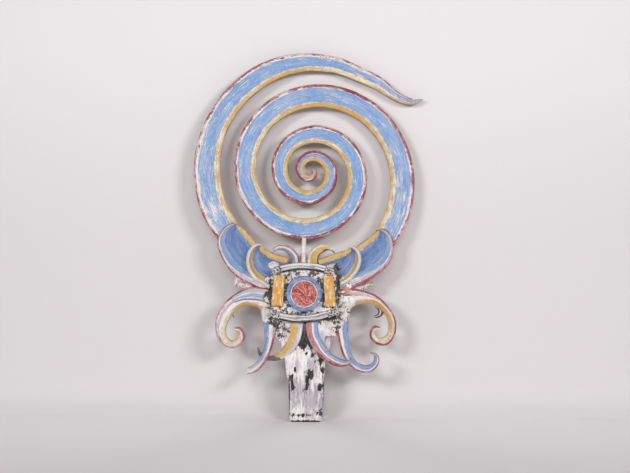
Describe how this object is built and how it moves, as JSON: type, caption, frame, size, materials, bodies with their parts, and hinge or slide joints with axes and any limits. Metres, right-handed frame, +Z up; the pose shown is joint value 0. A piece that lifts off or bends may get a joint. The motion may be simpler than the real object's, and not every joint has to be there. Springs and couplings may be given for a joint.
{
  "type": "carved roof finial",
  "caption": "Tall carved and painted wooden roof finial: an openwork spiral over leafy scrolls and a roundel block, on a squared tenon foot.",
  "frame": {"origin": "centre of the tenon foot's flat underside", "axes": "+Z up along the finial, +X to the right of the carved front, -Y out of the carved front and +Y out of the plain back"},
  "size_m": [0.6905, 0.1193, 1.1035],
  "materials": {
    "carved_timber": "worn blue, crimson and ochre paint over white primer on carved wood",
    "moulding": "worn silvery white over dark wood",
    "tablet": "worn ochre paint over pale primer",
    "roundel": "worn blue paint on the ring and rough red paint on the sunk disc"
  },
  "bodies": {
    "root": {"carving": "carved_timber", "top_moulding": "moulding", "bottom_moulding": "moulding", "left_tablet": "tablet", "right_tablet": "tablet", "roundel": "roundel"}
  },
  "joints": []
}
